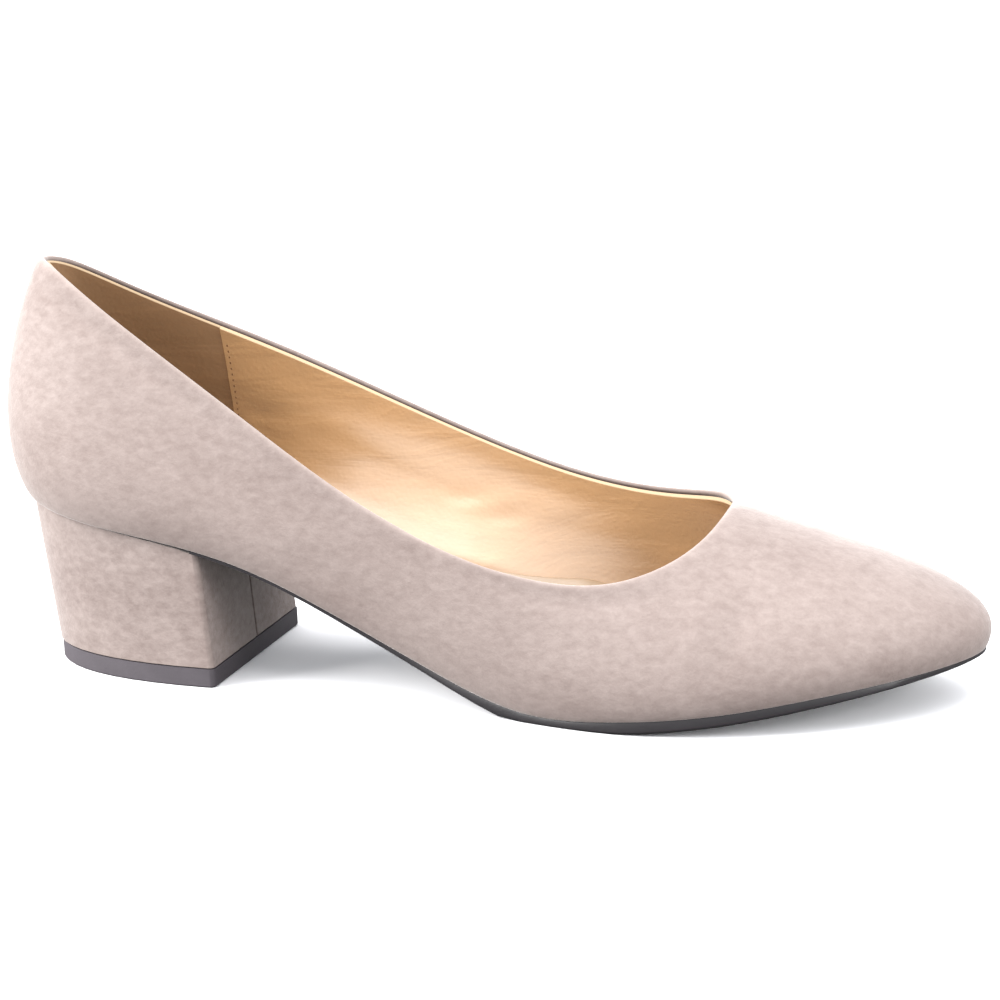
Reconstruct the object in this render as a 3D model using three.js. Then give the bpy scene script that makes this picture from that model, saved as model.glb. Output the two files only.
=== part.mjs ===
// Block heel pump, right shoe, in millimetres, +Z up.
// The toe points along +X, the outer side of the foot is -Y, and the floor is z = 0.
// The upper is one hollow wall round the shape of the last. Its section at each place round the shoe
// is a curve from the sole edge up to the topline, and every other piece is worked out from it.

import * as THREE from 'three';

// Driving sizes of the last
const SOLE_LENGTH = 245;
const BALL_WIDTH = 77;
const HEEL_HEIGHT = 46;
const COLLAR_HEIGHT = 102;
const BALL_LEVEL = 2.7;
const TOE_SPRING = 10.5;

// Walls and sheets
const WALL = 1.8;
const RIM_RADIUS = WALL / 2;
const MARGIN_WIDTH = 6.5;
const EDGE_ROUND = 1.0;
const GAP = 0.3;
const INSOLE_THICKNESS = 2.5;
const INSOLE_INSET = 1.9;
const INSOLE_ROUND = 0.8;
const OUTSOLE_INSET = 0.4;
const FLAT_BLEND = 0.6;
const SOLE_EDGE_ROUND = 0.5;
const SOLE_EDGE_SHARE = 0.22;

// Block heel
const TOP_PIECE_HEIGHT = 4.8;
const HEEL_CORNER = 1.4;
const TOP_PIECE_REACH = 0.2;
const TOP_PIECE_CHAMFER = 0.4;

// Fineness of the faces
const STEPS_PER_SECTION = 6;
const OUTER_STEPS = 13;
const INNER_STEPS = 8;
const SLAB_STEPS = 60;
const HEEL_LEVELS = 5;
const HEEL_BACK_STEPS = 12;
const CORNER_STEPS = 3;

// Turns rows of numbers into records with the named columns
function table(columns, rows) {
  return rows.map((row) => Object.fromEntries(columns.map((name, i) => [name, row[i]])));
}

// The sections of the upper, one row each, from the back of the heel along the outer side to the toe
// and home along the inner side. Along is a share of SOLE_LENGTH, across a share of half BALL_WIDTH
// and height a share of COLLAR_HEIGHT. The wall leaves the sole edge at the angle flare, outwards
// from upright, and comes up to the topline at the angle lean. The reaches are how far those
// directions hold, in millimetres.
const SECTIONS = table(
  [
    'edgeAlong', 'edgeAcross', 'topAlong', 'topAcross', 'topHeight',
    'flare', 'flareReach', 'lean', 'leanReach',
  ],
  [
    [0.000, 0.000, 0.024, 0.000, 1.000, 26, 16.5, 25, 21.5],
    [0.029, -0.460, 0.052, -0.250, 0.997, 26, 16.0, 23, 21.0],
    [0.119, -0.731, 0.132, -0.470, 0.900, 25, 14.5, 19, 19.0],
    [0.273, -0.736, 0.263, -0.611, 0.704, 25, 12.0, 11, 15.5],
    [0.435, -0.721, 0.403, -0.743, 0.501, 24, 9.7, 7, 12.3],
    [0.581, -0.912, 0.532, -0.864, 0.383, 28, 8.8, 8, 10.0],
    [0.716, -1.004, 0.639, -0.837, 0.341, 31, 8.4, 22, 9.0],
    [0.844, -0.796, 0.707, -0.622, 0.367, 33, 9.9, 43, 13.2],
    [0.943, -0.390, 0.740, -0.278, 0.414, 32, 13.3, 64, 22.5],
    [1.000, 0.155, 0.747, 0.113, 0.447, 31, 17.3, 73, 31.0],
    [0.963, 0.600, 0.735, 0.467, 0.430, 32, 16.0, 63, 23.0],
    [0.873, 0.872, 0.706, 0.759, 0.417, 32, 11.8, 42, 13.8],
    [0.751, 1.014, 0.638, 0.911, 0.404, 31, 9.5, 21, 9.4],
    [0.612, 0.884, 0.535, 0.857, 0.453, 28, 9.2, 7, 10.0],
    [0.449, 0.598, 0.404, 0.709, 0.586, 24, 9.8, 7, 13.0],
    [0.277, 0.664, 0.260, 0.582, 0.742, 25, 12.0, 11, 16.0],
    [0.122, 0.703, 0.121, 0.452, 0.878, 25, 14.5, 18, 19.0],
    [0.028, 0.443, 0.042, 0.251, 0.976, 26, 16.0, 22, 21.0],
  ],
);

// The underside of the upper, seen from the side. Heel is the share of the rise to HEEL_HEIGHT, and
// spring the share of TOE_SPRING.
const BOTTOM = table(
  ['along', 'heel', 'spring'],
  [
    [0.000, 1.000, 0.00],
    [0.082, 0.905, 0.00],
    [0.184, 0.815, 0.00],
    [0.286, 0.665, 0.00],
    [0.388, 0.395, 0.00],
    [0.490, 0.140, 0.00],
    [0.580, 0.000, 0.00],
    [0.673, 0.000, 0.055],
    [0.776, 0.000, 0.309],
    [0.878, 0.000, 0.663],
    [1.010, 0.000, 1.000],
  ],
);

// The outsole's thickness in millimetres along the shoe. At the ball it is worn to a flat spot on the
// floor, which is thinner than the thickness given here.
const OUTSOLE = table(
  ['along', 'thickness'],
  [
    [0.00, 0.9],
    [0.22, 1.0],
    [0.40, 1.4],
    [0.52, 2.6],
    [0.60, 3.6],
    [0.70, 3.2],
    [0.86, 2.5],
    [1.01, 0.9],
  ],
);

// The block heel at the floor end and at the sole: where its back and its breast stand, half its
// width, where its middle stands across the shoe, and how square the round of the back is (2 is an
// ellipse)
const HEEL = table(
  ['backAlong', 'breastAlong', 'halfWidth', 'centre', 'squareness'],
  [
    [0.028, 0.241, 27.4, 0.4, 2.3],
    [0.013, 0.231, 27.0, -0.2, 2.6],
  ],
);

// Smooth curve through values at whole steps that closes on itself
function closedCurve(values) {
  const n = values.length;
  const at = (i) => values[(i + n) % n];
  let slopes = values.map((_, i) => (at(i + 1) - at(i - 1)) / 2);
  const sweeps = 40;
  for (let sweep = 0; sweep < sweeps; sweep += 1) {
    const last = slopes;
    slopes = last.map((_, i) => (
      3 * (at(i + 1) - at(i - 1)) - last[(i + 1) % n] - last[(i - 1 + n) % n]) / 4);
  }
  return (t) => {
    const i = Math.floor(t);
    const u = t - i;
    const a = at(i % n);
    const b = at((i + 1) % n);
    const da = slopes[((i % n) + n) % n];
    const db = slopes[(((i + 1) % n) + n) % n];
    return a * (1 + 2 * u) * (1 - u) ** 2 + da * u * (1 - u) ** 2
      + b * u * u * (3 - 2 * u) + db * u * u * (u - 1);
  };
}

// Smooth curve through points that goes straight on past its two ends
function openCurve(xs, ys) {
  const n = xs.length;
  const bend = new Array(n).fill(0);
  const sweeps = 80;
  for (let sweep = 0; sweep < sweeps; sweep += 1) {
    for (let i = 1; i < n - 1; i += 1) {
      const left = xs[i] - xs[i - 1];
      const right = xs[i + 1] - xs[i];
      const turn = (ys[i + 1] - ys[i]) / right - (ys[i] - ys[i - 1]) / left;
      bend[i] = (6 * turn - left * bend[i - 1] - right * bend[i + 1]) / (2 * (left + right));
    }
  }
  return (x) => {
    let i = 0;
    while (i < n - 2 && x > xs[i + 1]) i += 1;
    const h = xs[i + 1] - xs[i];
    const a = (xs[i + 1] - x) / h;
    const b = (x - xs[i]) / h;
    if (a > 1 || b > 1) {
      const end = a > 1 ? i : i + 1;
      const lean = (h / 6) * (a > 1 ? -2 * bend[i] - bend[i + 1] : 2 * bend[i + 1] + bend[i]);
      return ys[end] + (x - xs[end]) * ((ys[i + 1] - ys[i]) / h + lean);
    }
    return a * ys[i] + b * ys[i + 1] + ((a ** 3 - a) * bend[i] + (b ** 3 - b) * bend[i + 1]) * h * h / 6;
  };
}

// Height of the upper's underside above the floor at a place along the shoe
const bottomHeight = openCurve(
  BOTTOM.map((row) => row.along * SOLE_LENGTH),
  BOTTOM.map((row) => BALL_LEVEL + row.heel * (HEEL_HEIGHT - BALL_LEVEL) + row.spring * TOE_SPRING),
);

const outsoleThickness = openCurve(
  OUTSOLE.map((row) => row.along * SOLE_LENGTH),
  OUTSOLE.map((row) => row.thickness),
);

const halfBall = BALL_WIDTH / 2;
const edgeX = closedCurve(SECTIONS.map((row) => row.edgeAlong * SOLE_LENGTH));
const edgeY = closedCurve(SECTIONS.map((row) => row.edgeAcross * halfBall));
const topX = closedCurve(SECTIONS.map((row) => row.topAlong * SOLE_LENGTH));
const topY = closedCurve(SECTIONS.map((row) => row.topAcross * halfBall));
const topZ = closedCurve(SECTIONS.map((row) => row.topHeight * COLLAR_HEIGHT));
const flare = closedCurve(SECTIONS.map((row) => THREE.MathUtils.degToRad(row.flare)));
const flareReach = closedCurve(SECTIONS.map((row) => row.flareReach));
const lean = closedCurve(SECTIONS.map((row) => THREE.MathUtils.degToRad(row.lean)));
const leanReach = closedCurve(SECTIONS.map((row) => row.leanReach));

// Level direction that points out of the shoe, square to a closed outline
function outward(curveX, curveY, t) {
  const step = 0.001;
  const alongX = curveX(t + step) - curveX(t - step);
  const alongY = curveY(t + step) - curveY(t - step);
  return new THREE.Vector3(alongY, -alongX, 0).normalize();
}

// The upper's section at place t round the shoe, as a curve from the sole edge up to the topline
function wallSection(t) {
  const edge = new THREE.Vector3(edgeX(t), edgeY(t), 0);
  edge.z = bottomHeight(edge.x);
  const crest = new THREE.Vector3(topX(t), topY(t), topZ(t));
  const rise = edge.clone()
    .addScaledVector(outward(edgeX, edgeY, t), flareReach(t) * Math.sin(flare(t)));
  rise.z += flareReach(t) * Math.cos(flare(t));
  const swell = crest.clone()
    .addScaledVector(outward(topX, topY, t), leanReach(t) * Math.sin(lean(t)));
  swell.z -= leanReach(t) * Math.cos(lean(t));
  const upAtCrest = crest.clone().sub(swell).normalize();
  const top = crest.clone().addScaledVector(upAtCrest, -RIM_RADIUS);
  return { curve: new THREE.CubicBezierCurve3(edge, rise, swell, top), upAtCrest };
}

// Direction out of the wall at place t round the shoe and share v of the way up
function wallNormal(t, v) {
  const step = 0.01;
  const round = wallSection(t + step).curve.getPoint(v)
    .sub(wallSection(t - step).curve.getPoint(v));
  const up = wallSection(t).curve.getTangent(v);
  return round.cross(up).normalize();
}

function outerPoint(t, v) {
  return wallSection(t).curve.getPoint(v);
}

function innerPoint(t, v) {
  return outerPoint(t, v).addScaledVector(wallNormal(t, v), -WALL);
}

// Height of a point above the underside of the upper
function aboveBottom(point) {
  return point.z - bottomHeight(point.x);
}

// Share of the way up at which the inside of the wall meets the top of the lasting margin
function innerFoot(t) {
  let low = 0;
  let high = 0.5;
  const halvings = 24;
  for (let i = 0; i < halvings; i += 1) {
    const middle = (low + high) / 2;
    if (aboveBottom(innerPoint(t, middle)) < WALL) low = middle;
    else high = middle;
  }
  return high;
}

// Point of the sole outline, moved inwards, at a height above the underside of the upper
function marginPoint(t, inset, height) {
  const point = new THREE.Vector3(edgeX(t), edgeY(t), 0)
    .addScaledVector(outward(edgeX, edgeY, t), -inset);
  point.z = bottomHeight(point.x) + height;
  return point;
}

// The closed section of the wall at place t: up the outside, over the folded topline, down the
// inside, and round the lasting margin that is turned in under the foot
function wallRing(t) {
  const { curve, upAtCrest } = wallSection(t);
  const ring = [];
  const start = EDGE_ROUND / curve.getLength();
  for (let i = 0; i <= OUTER_STEPS; i += 1) {
    ring.push(curve.getPoint(start + (1 - start) * (i / OUTER_STEPS)));
  }
  const crest = outerPoint(t, 1)
    .addScaledVector(wallNormal(t, 1), -RIM_RADIUS)
    .addScaledVector(upAtCrest, RIM_RADIUS);
  ring.push(crest);
  const foot = innerFoot(t);
  for (let i = 0; i <= INNER_STEPS; i += 1) {
    ring.push(innerPoint(t, 1 + (foot - 1) * (i / INNER_STEPS)));
  }
  ring.push(marginPoint(t, MARGIN_WIDTH, WALL));
  ring.push(marginPoint(t, MARGIN_WIDTH, 0));
  ring.push(marginPoint(t, EDGE_ROUND, 0));
  return ring;
}

// Geometry from corner points and triangles
function solid(points, triangles) {
  const geometry = new THREE.BufferGeometry();
  const places = points.flatMap((point) => [point.x, point.y, point.z]);
  geometry.setAttribute('position', new THREE.Float32BufferAttribute(places, 3));
  geometry.setIndex(triangles);
  geometry.computeVertexNormals();
  return geometry;
}

// Wall that runs all the way round, through closed sections with the same number of points
function ringWall(rings) {
  const count = rings[0].length;
  const triangles = [];
  for (let i = 0; i < rings.length; i += 1) {
    const next = (i + 1) % rings.length;
    for (let j = 0; j < count; j += 1) {
      const up = (j + 1) % count;
      const a = i * count + j;
      const b = next * count + j;
      const c = next * count + up;
      const d = i * count + up;
      triangles.push(a, b, c, a, c, d);
    }
  }
  return solid(rings.flat(), triangles);
}

// Solid through outlines stacked from the lowest to the highest. Every outline starts at the back,
// goes round by the outer side, and has its points in pairs at equal x, so that its two ends close
// in straight rows across the shoe.
function stackedSolid(outlines) {
  const count = outlines[0].length;
  const triangles = [];
  for (let level = 0; level < outlines.length - 1; level += 1) {
    for (let i = 0; i < count; i += 1) {
      const next = (i + 1) % count;
      const a = level * count + i;
      const b = level * count + next;
      triangles.push(a, b, b + count, a, b + count, a + count);
    }
  }
  const lid = (outlines.length - 1) * count;
  for (let i = 0; i < count / 2; i += 1) {
    const outer = i;
    const outerNext = i + 1;
    const inner = (count - i) % count;
    const innerNext = count - i - 1;
    if (outer !== inner) {
      triangles.push(outer, inner, outerNext);
      triangles.push(lid + outer, lid + outerNext, lid + inner);
    }
    if (outerNext !== innerNext) {
      triangles.push(inner, innerNext, outerNext);
      triangles.push(lid + inner, lid + outerNext, lid + innerNext);
    }
  }
  return solid(outlines.flat(), triangles);
}

// The sole outline moved inwards, as its two sides over the length of the shoe
function soleOutline(inset) {
  const samples = 720;
  const points = [];
  for (let i = 0; i < samples; i += 1) points.push(marginPoint((i / samples) * SECTIONS.length, inset, 0));
  const back = points.reduce((best, point) => (point.x < best.x ? point : best));
  const toe = points.reduce((best, point) => (point.x > best.x ? point : best));
  const side = (x, sign) => {
    for (let i = 0; i < samples; i += 1) {
      const a = points[i];
      const b = points[(i + 1) % samples];
      if ((b.x - a.x) * sign > 0 && (a.x - x) * (b.x - x) <= 0) {
        return a.y + (b.y - a.y) * ((x - a.x) / (b.x - a.x));
      }
    }
    return sign > 0 ? back.y : toe.y;
  };
  return { back, toe, side };
}

// Outline ring of a sheet that follows the sole outline, at heights given along the shoe
function sheetRing(inset, heightAt) {
  const { back, toe, side } = soleOutline(inset);
  const ring = [];
  for (let i = 0; i < SLAB_STEPS * 2; i += 1) {
    const step = i <= SLAB_STEPS ? i : 2 * SLAB_STEPS - i;
    const share = (1 - Math.cos((Math.PI * step) / SLAB_STEPS)) / 2;
    const x = back.x + (toe.x - back.x) * share;
    let y = side(x, i <= SLAB_STEPS ? 1 : -1);
    if (i === 0) y = back.y;
    if (i === SLAB_STEPS) y = toe.y;
    ring.push(new THREE.Vector3(x, y, heightAt(x)));
  }
  return ring;
}

const outsoleTop = (x) => bottomHeight(x) - GAP;

// Height of the outsole's underside, which runs smoothly into the flat spot on the floor
function outsoleUnder(x) {
  const height = outsoleTop(x) - outsoleThickness(x);
  if (height <= -FLAT_BLEND) return 0;
  if (height >= FLAT_BLEND) return height;
  return (height + FLAT_BLEND) ** 2 / (4 * FLAT_BLEND);
}

// The outsole, with a small round along both edges of its side
function outsole() {
  const between = (share) => (x) => outsoleUnder(x) + (outsoleTop(x) - outsoleUnder(x)) * share;
  return stackedSolid([
    sheetRing(OUTSOLE_INSET + SOLE_EDGE_ROUND, between(0)),
    sheetRing(OUTSOLE_INSET, between(SOLE_EDGE_SHARE)),
    sheetRing(OUTSOLE_INSET, between(1 - SOLE_EDGE_SHARE)),
    sheetRing(OUTSOLE_INSET + SOLE_EDGE_ROUND / 2, between(1)),
  ]);
}

// The insole, a cushioned sheet that rests on the lasting margin
function insole() {
  const under = (x) => bottomHeight(x) + WALL + GAP;
  return stackedSolid([
    sheetRing(INSOLE_INSET, under),
    sheetRing(INSOLE_INSET, (x) => under(x) + INSOLE_THICKNESS - INSOLE_ROUND),
    sheetRing(INSOLE_INSET + INSOLE_ROUND, (x) => under(x) + INSOLE_THICKNESS),
  ]);
}

// Outline of the block heel at a share of the way up, and its heights
function heelRing(share, reach, heightAt) {
  const [low, high] = HEEL;
  const mix = (name) => low[name] + (high[name] - low[name]) * share;
  const back = mix('backAlong') * SOLE_LENGTH - reach;
  const breast = mix('breastAlong') * SOLE_LENGTH + reach;
  const half = mix('halfWidth') + reach;
  const centre = mix('centre');
  const depth = breast - HEEL_CORNER - back;
  const outer = [];
  for (let i = 0; i <= HEEL_BACK_STEPS; i += 1) {
    const turn = (Math.PI / 2) * (i / HEEL_BACK_STEPS);
    const power = 2 / mix('squareness');
    const x = back + depth * (1 - Math.cos(turn) ** power);
    outer.push([x, half * Math.sin(turn) ** power]);
  }
  for (let i = 1; i <= CORNER_STEPS; i += 1) {
    const turn = (Math.PI / 2) * (i / CORNER_STEPS);
    const x = breast - HEEL_CORNER * (1 - Math.sin(turn));
    outer.push([x, half - HEEL_CORNER * (1 - Math.cos(turn))]);
  }
  const inner = outer.slice(1).reverse();
  const ring = [
    ...outer.map(([x, y]) => new THREE.Vector3(x, centre - y, 0)),
    new THREE.Vector3(breast, centre, 0),
    ...inner.map(([x, y]) => new THREE.Vector3(x, centre + y, 0)),
  ];
  ring.forEach((point) => { point.z = heightAt(point.x); });
  return ring;
}

// The block heel, from above its top piece up to the underside of the outsole
function heelBlock() {
  const floor = TOP_PIECE_HEIGHT + GAP;
  const rings = [];
  for (let level = 0; level <= HEEL_LEVELS; level += 1) {
    const share = level / HEEL_LEVELS;
    rings.push(heelRing(share, 0, (x) => floor + (outsoleUnder(x) - GAP - floor) * share));
  }
  return stackedSolid(rings);
}

// The rubber lift under the heel
function heelTopPiece() {
  return stackedSolid([
    heelRing(0, TOP_PIECE_REACH - TOP_PIECE_CHAMFER, () => 0),
    heelRing(0, TOP_PIECE_REACH, () => TOP_PIECE_CHAMFER),
    heelRing(0, TOP_PIECE_REACH, () => TOP_PIECE_HEIGHT),
  ]);
}

// The upper with its wall of real thickness, open at the collar and underneath
function upper() {
  const count = SECTIONS.length * STEPS_PER_SECTION;
  const rings = [];
  for (let i = 0; i < count; i += 1) rings.push(wallRing(i / STEPS_PER_SECTION));
  return ringWall(rings);
}

// Finishes
const suede = new THREE.MeshStandardMaterial({ color: 0xcbbab2, roughness: 0.95, metalness: 0 });
const lining = new THREE.MeshStandardMaterial({ color: 0xe3c9a2, roughness: 0.45, metalness: 0 });
const soling = new THREE.MeshStandardMaterial({ color: 0x4a4248, roughness: 0.7, metalness: 0 });
const rubber = new THREE.MeshStandardMaterial({ color: 0x5a5358, roughness: 0.65, metalness: 0 });

const pieces = [
  ['upper', upper(), suede],
  ['insole', insole(), lining],
  ['outsole', outsole(), soling],
  ['heel_block', heelBlock(), suede],
  ['heel_top_piece', heelTopPiece(), rubber],
];

const pump = new THREE.Group();
for (const [name, geometry, material] of pieces) {
  const mesh = new THREE.Mesh(geometry, material);
  mesh.name = name;
  pump.add(mesh);
}

// The origin is on the floor, under the middle of the shoe
const extent = new THREE.Box3().setFromObject(pump);
const middle = extent.getCenter(new THREE.Vector3());
pump.position.set(-middle.x, -middle.y, -extent.min.z);

export default pump;
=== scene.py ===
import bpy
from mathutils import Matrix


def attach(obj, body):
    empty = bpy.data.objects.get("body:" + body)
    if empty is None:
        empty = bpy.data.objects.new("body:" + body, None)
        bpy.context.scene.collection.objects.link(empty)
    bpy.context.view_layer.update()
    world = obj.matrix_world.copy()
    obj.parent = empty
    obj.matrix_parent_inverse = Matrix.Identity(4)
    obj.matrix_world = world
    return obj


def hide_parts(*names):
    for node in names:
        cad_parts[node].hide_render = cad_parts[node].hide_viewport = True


bl_info = {
    "name": "Block heel pump",
    "version": (1, 0, 0),
    "blender": (4, 5, 0),
    "location": "3D View > Sidebar > Pump",
    "description": "Dresses the packed model of a block heel pump in suede, lining leather and rubber",
    "category": "Object",
}

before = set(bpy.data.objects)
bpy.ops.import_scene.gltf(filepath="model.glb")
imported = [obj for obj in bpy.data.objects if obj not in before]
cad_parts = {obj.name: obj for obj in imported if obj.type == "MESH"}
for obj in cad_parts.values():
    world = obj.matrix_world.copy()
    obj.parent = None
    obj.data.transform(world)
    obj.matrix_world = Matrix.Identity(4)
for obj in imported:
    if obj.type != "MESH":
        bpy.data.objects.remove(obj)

import math

import bmesh
import bpy
import numpy as np
from mathutils import Matrix, Vector
from mathutils.bvhtree import BVHTree

MM = 0.001

# The outer and the inner side of the foot, as the sign of Y there, and the view from above
OUTER_SIDE = -1
INNER_SIDE = 1
FROM_ABOVE = 0

# Reading the CAD meshes. Rows count from the upper's crest down its inner skin and on round it.
MERGE_REACH = 0.01 * MM
GRID_PULL = 1.5
INNER_ROWS = 9
SOLE_EDGE_ROW = 12
OUTER_FOOT_ROW = 13

# How far up a surface faces, from -1 to 1: on a lid, on a wall and on an underside
LID_TURN = 0.8
WALL_TURN = 0.6
UNDERSIDE_TURN = -0.2

# Where the lines that look for the shoe's surface start, well outside it
FROM_SIDE = 0.1
FROM_TOP = 0.2

# The upper
UPPER_LEVELS = 2
COLLAR_COLUMNS = 6.0
COLLAR_SWELL = 1.2 * MM
COLLAR_RISE = 0.5 * MM
SOLE_EDGE_DROP = 0.2 * MM
SOLE_EDGE_REACH = 0.55

# The share of the collar's swell that each row takes
COLLAR_SHARES = ((0, 0.4), (1, 1.0), (2, 1.0), (3, 0.6))

# How far the suede on the rows of its folded edge takes a painted highlight along the crest, partly worn
# nap (1), or a painted shade in the fold under it, partly flattened nap (-1)
EDGE_TONES = ((0, 1.0), (1, -0.8), (2, -1.0), (3, -1.0), (26, 0.15))

# How far a fold reaches, in half widths, and how softly its ends fade
FOLD_REACH = 3.0
FOLD_FADE = 0.6

# The lining pieces. The shoulder is where the sheet is level again under its lip, in lip heights.
LINING_LEVELS = 2
LINING_CLEARANCE = 0.05 * MM
LINING_SHARP = 50
LIP_OFFSET = 0.12 * MM
LIP_SHOULDER = 3.0
LIP_MARGIN = 1.05
CUT_GAP = 0.04 * MM

# The camera, which stands where the photograph was taken
CAMERA_AZIMUTH = 20.19
CAMERA_ELEVATION = 15.27
CAMERA_ROLL = -2.29
CAMERA_DISTANCE = 0.900
CAMERA_TARGET = (0.6977 * MM, -0.4282 * MM, 45.0 * MM)
CAMERA_LENS = 132.29
CAMERA_SENSOR = 36.0
CAMERA_SHIFT = (0.01635, -0.00191)
CAMERA_REACH = 20.0


# Settings that a user would change


def length_property(name, description, default):
    """A length setting, in metres"""
    return bpy.props.FloatProperty(
        name=name, description=description, default=default, unit="LENGTH", precision=4
    )


def colour_property(name, description, default):
    """A colour setting, as linear red, green and blue"""
    return bpy.props.FloatVectorProperty(
        name=name, description=description, default=default, subtype="COLOR", size=3, min=0.0, max=1.0
    )


class PumpSizes(bpy.types.PropertyGroup):
    """Sizes of the pieces that dress the pump"""

    fold_depth: length_property(
        "Fold depth", "How far the suede is turned in over the topline, down to the lining", 1.7 * MM
    )
    lip_height: length_property(
        "Lining lip", "Height of the sloped cut edge along the top of the lining", 0.35 * MM
    )
    quarter_thickness: length_property(
        "Lining thickness", "Thickness of the quarter and vamp lining", 0.85 * MM
    )
    grip_thickness: length_property(
        "Heel grip thickness", "Thickness of the heel grip, which the quarter lining overlaps", 0.45 * MM
    )
    grip_seam: length_property(
        "Heel grip seam", "Where the heel grip ends, along the shoe from its middle", -75.4 * MM
    )
    stitch_pitch: length_property(
        "Stitch length", "Distance from one stitch to the next in the heel grip seam", 1.6 * MM
    )
    sock_crown: length_property(
        "Sock crown", "How far the cushioned sock swells above the insole", 0.9 * MM
    )
    arch_rise: bpy.props.FloatProperty(
        name="Arch rise",
        description="How strongly the sock rises along the inner side of the arch, 1 as in the last",
        default=1.0,
        subtype="FACTOR",
        min=0.0,
        soft_max=1.2,
    )
    seam_width: length_property(
        "Heel seam width", "Width of the butt seam down the breast of the heel cover", 0.9 * MM
    )
    seam_depth: length_property(
        "Heel seam depth", "Depth of the butt seam down the breast of the heel cover", 0.9 * MM
    )


class PumpColours(bpy.types.PropertyGroup):
    """Colours of the pump's materials"""

    suede: colour_property("Suede", "Taupe of the suede's raised nap", (0.262, 0.214, 0.196))
    suede_dark: colour_property("Brushed suede", "Nap that lies the other way", (0.165, 0.126, 0.114))
    # A painted highlight along the topline's crest, partly worn nap, and the worn paler corners of the
    # heel
    suede_rub_and_highlight: colour_property("Suede edge", "Rubbed crest of the topline", (0.300, 0.248, 0.224))
    # A painted shade: in the fold under the topline, partly flattened nap, in the heel's butt seam and
    # in the line under the upper
    suede_shade: colour_property("Suede fold", "Suede pressed under the topline", (0.052, 0.034, 0.028))
    lining: colour_property("Lining", "Satin leather of the lining", (0.415, 0.238, 0.106))
    lining_edge: colour_property("Lining edge", "Cut edge of the lining", (0.430, 0.320, 0.205))
    grip: colour_property("Heel grip", "Leather of the heel grip", (0.250, 0.145, 0.072))
    sock: colour_property("Sock", "Leather of the cushioned sock", (0.300, 0.195, 0.105))
    # The thread's dark brown also stands for the painted shade in the stitch holes
    thread: colour_property("Thread", "Thread and holes of the grip seam", (0.130, 0.070, 0.035))
    sole: colour_property("Outsole", "Moulded outsole", (0.012, 0.010, 0.012))
    rubber: colour_property("Top piece", "Rubber lift under the heel", (0.060, 0.052, 0.060))
    floor: colour_property("Floor", "Pale floor of the studio", (0.900, 0.905, 0.925))


# Mesh helpers


def merged_quads(node):
    """A merged copy of a CAD node's mesh, with its triangles joined in pairs"""
    shape = bmesh.new()
    shape.from_mesh(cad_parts[node].data)
    bmesh.ops.remove_doubles(shape, verts=shape.verts, dist=MERGE_REACH)
    bmesh.ops.join_triangles(
        shape,
        faces=shape.faces,
        angle_face_threshold=math.pi,
        angle_shape_threshold=math.pi,
        topology_influence=GRID_PULL,
    )
    return shape


def new_mesh(name, shape):
    """A mesh from a bmesh, without the shading that the CAD file brought"""
    mesh = bpy.data.meshes.new(name)
    shape.to_mesh(mesh)
    if "custom_normal" in mesh.attributes:
        mesh.attributes.remove(mesh.attributes["custom_normal"])
    mesh.shade_smooth()
    return mesh


def subdivide(shape, levels):
    """Smooths a bmesh in place with a subdivision surface"""
    mesh = new_mesh("working", shape)
    holder = bpy.data.objects.new("working", mesh)
    bpy.context.scene.collection.objects.link(holder)
    surface = holder.modifiers.new("surface", "SUBSURF")
    surface.levels = levels
    surface.render_levels = levels
    graph = bpy.context.evaluated_depsgraph_get()
    smooth = bpy.data.meshes.new_from_object(
        holder.evaluated_get(graph), preserve_all_data_layers=True, depsgraph=graph
    )
    shape.clear()
    shape.from_mesh(smooth)
    shape.normal_update()
    bpy.data.objects.remove(holder)
    bpy.data.meshes.remove(mesh)
    bpy.data.meshes.remove(smooth)


def add_piece(name, shape, materials, replaces=(), sharp_angle=None):
    """Turns a bmesh into a finished piece that rides on the shoe and stands for its CAD nodes"""
    mesh = new_mesh(name, shape)
    shape.free()
    if sharp_angle is not None:
        mesh.set_sharp_from_angle(angle=math.radians(sharp_angle))
    for material in materials:
        mesh.materials.append(material)
    piece = bpy.data.objects.new(name, mesh)
    bpy.context.scene.collection.objects.link(piece)
    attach(piece, "root")
    if replaces:
        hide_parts(*replaces)
    return piece


def straight_on(vert, edge):
    """The edge that carries a loop on across a vertex of four edges"""
    beside = set(edge.link_faces)
    return next(other for other in vert.link_edges if not beside & set(other.link_faces))


def edge_loop(start, edge):
    """The vertices of the closed loop that leaves a vertex by an edge"""
    loop = [start]
    vert = edge.other_vert(start)
    while vert is not start:
        loop.append(vert)
        edge = straight_on(vert, edge)
        vert = edge.other_vert(vert)
    return loop


def wall_grid(shape):
    """Rows of vertices round the upper: the crest first, then the inner skin on its way down"""
    crest = max(shape.verts, key=lambda vert: vert.co.z)

    # Two of the crest's four edges lead round the shoe in long loops. Of the other two, the one that
    # leads inwards points to the toe.
    inward = max(
        crest.link_edges,
        key=lambda edge: edge.other_vert(crest).co.x - len(edge_loop(crest, edge)),
    )
    profile = edge_loop(crest, inward)
    rows = []
    for vert in profile:
        sideways = [edge for edge in vert.link_edges if edge.other_vert(vert) not in profile]
        round_shoe = min(sideways, key=lambda edge: edge.other_vert(vert).co.y)
        rows.append(edge_loop(vert, round_shoe))
    return rows


def point_at(points, distance):
    """The point at a distance along a line of points"""
    for first, second in zip(points, points[1:]):
        step = (second - first).length
        if distance <= step:
            return first.lerp(second, distance / step)
        distance -= step
    return points[-1].copy()


def smooth_step(value, low, high):
    """0 below low, 1 above high, and a smooth rise between them"""
    share = np.clip((value - low) / (high - low), 0.0, 1.0)
    return share * share * (3.0 - 2.0 * share)


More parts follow.
